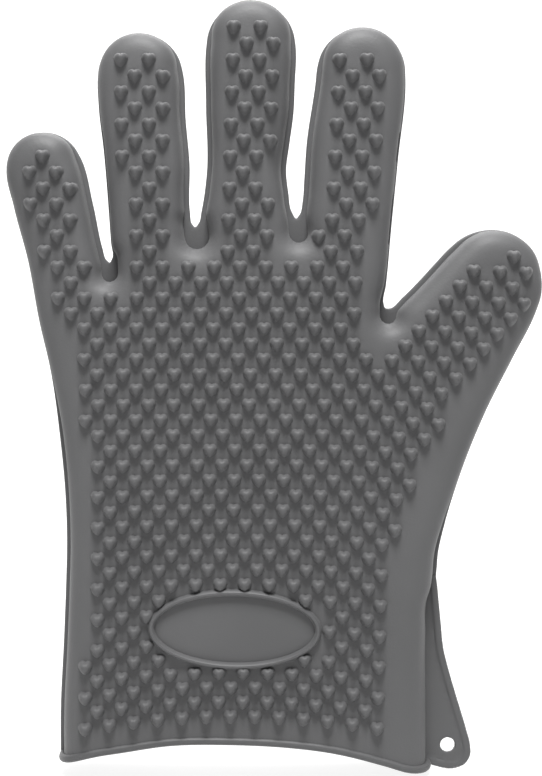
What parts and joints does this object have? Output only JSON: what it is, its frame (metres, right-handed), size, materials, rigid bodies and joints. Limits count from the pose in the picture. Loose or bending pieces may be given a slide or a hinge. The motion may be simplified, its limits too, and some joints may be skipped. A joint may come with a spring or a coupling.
{
  "type": "heat resistant glove",
  "caption": "Grey moulded silicone cooking glove for the right hand, palm side studded, with an arched cuff, a blank oval badge and a hanging tab.",
  "frame": {"origin": "middle of the underside of the whole glove, under the cuff", "axes": "+Z from the cuff to the fingertips, -Y out of the palm side, +X towards the thumb"},
  "size_m": [0.186, 0.029, 0.268],
  "materials": {
    "silicone_body": "matt moulded silicone rubber, studded in the finished glove",
    "silicone_fold": "matt silicone rubber where the wall flexes",
    "silicone_web": "smooth thin silicone membrane",
    "silicone_hem": "smooth rolled silicone edge",
    "silicone_tab": "smooth thin silicone",
    "silicone_badge": "smooth raised silicone, blank"
  },
  "bodies": {
    "palm": {"palm_side": "silicone_body", "hand_back": "silicone_body", "pinky_root": "silicone_body", "ring_root": "silicone_body", "middle_root": "silicone_body", "index_root": "silicone_body", "pinky_ring_web": "silicone_web", "ring_middle_web": "silicone_web", "middle_index_web": "silicone_web", "index_thumb_web": "silicone_web", "cuff_hem": "silicone_hem", "badge_rim": "silicone_badge", "badge_field": "silicone_badge", "tab_root_fold": "silicone_fold", "pinky_base_fold": "silicone_fold", "ring_base_fold": "silicone_fold", "middle_base_fold": "silicone_fold", "index_base_fold": "silicone_fold", "thumb_base_fold": "silicone_fold"},
    "pinky_base": {"pinky_base": "silicone_body", "pinky_middle_fold": "silicone_fold"},
    "pinky_middle": {"pinky_middle": "silicone_body", "pinky_tip_fold": "silicone_fold"},
    "pinky_tip": {"pinky_tip": "silicone_body"},
    "ring_base": {"ring_base": "silicone_body", "ring_middle_fold": "silicone_fold"},
    "ring_middle": {"ring_middle": "silicone_body", "ring_tip_fold": "silicone_fold"},
    "ring_tip": {"ring_tip": "silicone_body"},
    "middle_base": {"middle_base": "silicone_body", "middle_middle_fold": "silicone_fold"},
    "middle_middle": {"middle_middle": "silicone_body", "middle_tip_fold": "silicone_fold"},
    "middle_tip": {"middle_tip": "silicone_body"},
    "index_base": {"index_base": "silicone_body", "index_middle_fold": "silicone_fold"},
    "index_middle": {"index_middle": "silicone_body", "index_tip_fold": "silicone_fold"},
    "index_tip": {"index_tip": "silicone_body"},
    "thumb_base": {"thumb_base": "silicone_body", "thumb_tip_fold": "silicone_fold"},
    "thumb_tip": {"thumb_tip": "silicone_body"},
    "tab": {"hanging_tab": "silicone_tab"}
  },
  "joints": [
    {"name": "pinky_base_bend", "type": "hinge", "parent": "palm", "child": "pinky_base", "pos_m": [-0.07406, 0.00055, 0.18511], "axis": [0.9707, 0, 0.2403], "range_deg": [-10, 42], "stiffness_Nm_per_rad": 0.25, "deforming": ["pinky_base_fold"]},
    {"name": "pinky_middle_bend", "type": "hinge", "parent": "pinky_base", "child": "pinky_middle", "pos_m": [-0.07706, 0.00055, 0.19725], "axis": [0.9707, 0, 0.2403], "range_deg": [-10, 40], "stiffness_Nm_per_rad": 0.2, "deforming": ["pinky_middle_fold"]},
    {"name": "pinky_tip_bend", "type": "hinge", "parent": "pinky_middle", "child": "pinky_tip", "pos_m": [-0.08007, 0.00055, 0.20938], "axis": [0.9707, 0, 0.2403], "range_deg": [-10, 35], "stiffness_Nm_per_rad": 0.15, "deforming": ["pinky_tip_fold"]},
    {"name": "ring_base_bend", "type": "hinge", "parent": "palm", "child": "ring_base", "pos_m": [-0.04397, 0.00055, 0.19887], "axis": [0.9981, 0, 0.0615], "range_deg": [-10, 55], "stiffness_Nm_per_rad": 0.25, "deforming": ["ring_base_fold"]},
    {"name": "ring_middle_bend", "type": "hinge", "parent": "ring_base", "child": "ring_middle", "pos_m": [-0.04514, 0.00055, 0.21783], "axis": [0.9981, 0, 0.0615], "range_deg": [-10, 55], "stiffness_Nm_per_rad": 0.2, "deforming": ["ring_middle_fold"]},
    {"name": "ring_tip_bend", "type": "hinge", "parent": "ring_middle", "child": "ring_tip", "pos_m": [-0.04631, 0.00055, 0.2368], "axis": [0.9981, 0, 0.0615], "range_deg": [-10, 40], "stiffness_Nm_per_rad": 0.15, "deforming": ["ring_tip_fold"]},
    {"name": "middle_base_bend", "type": "hinge", "parent": "palm", "child": "middle_base", "pos_m": [-0.00965, 0.00055, 0.20222], "axis": [0.9993, 0, -0.0363], "range_deg": [-10, 55], "stiffness_Nm_per_rad": 0.25, "deforming": ["middle_base_fold"]},
    {"name": "middle_middle_bend", "type": "hinge", "parent": "middle_base", "child": "middle_middle", "pos_m": [-0.00885, 0.00055, 0.22421], "axis": [0.9993, 0, -0.0363], "range_deg": [-10, 55], "stiffness_Nm_per_rad": 0.2, "deforming": ["middle_middle_fold"]},
    {"name": "middle_tip_bend", "type": "hinge", "parent": "middle_middle", "child": "middle_tip", "pos_m": [-0.00806, 0.00055, 0.24619], "axis": [0.9993, 0, -0.0363], "range_deg": [-10, 40], "stiffness_Nm_per_rad": 0.15, "deforming": ["middle_tip_fold"]},
    {"name": "index_base_bend", "type": "hinge", "parent": "palm", "child": "index_base", "pos_m": [0.02656, 0.00055, 0.20159], "axis": [0.9952, 0, -0.098], "range_deg": [-10, 55], "stiffness_Nm_per_rad": 0.25, "deforming": ["index_base_fold"]},
    {"name": "index_middle_bend", "type": "hinge", "parent": "index_base", "child": "index_middle", "pos_m": [0.02843, 0.00055, 0.2205], "axis": [0.9952, 0, -0.098], "range_deg": [-10, 55], "stiffness_Nm_per_rad": 0.2, "deforming": ["index_middle_fold"]},
    {"name": "index_tip_bend", "type": "hinge", "parent": "index_middle", "child": "index_tip", "pos_m": [0.03029, 0.00055, 0.23941], "axis": [0.9952, 0, -0.098], "range_deg": [-10, 40], "stiffness_Nm_per_rad": 0.15, "deforming": ["index_tip_fold"]},
    {"name": "thumb_base_bend", "type": "hinge", "parent": "palm", "child": "thumb_base", "pos_m": [0.06452, 0.00055, 0.15335], "axis": [0.8238, 0, -0.5669], "range_deg": [-10, 45], "stiffness_Nm_per_rad": 0.25, "deforming": ["thumb_base_fold"]},
    {"name": "thumb_tip_bend", "type": "hinge", "parent": "thumb_base", "child": "thumb_tip", "pos_m": [0.0753, 0.00055, 0.169], "axis": [0.8238, 0, -0.5669], "range_deg": [-10, 45], "stiffness_Nm_per_rad": 0.15, "deforming": ["thumb_tip_fold"]},
    {"name": "tab_fold", "type": "hinge", "parent": "palm", "child": "tab", "pos_m": [0.05518, 0.00055, 0.00889], "axis": [0, 0, 1], "range_deg": [-45, 45], "stiffness_Nm_per_rad": 0.05, "deforming": ["tab_root_fold"]}
  ]
}
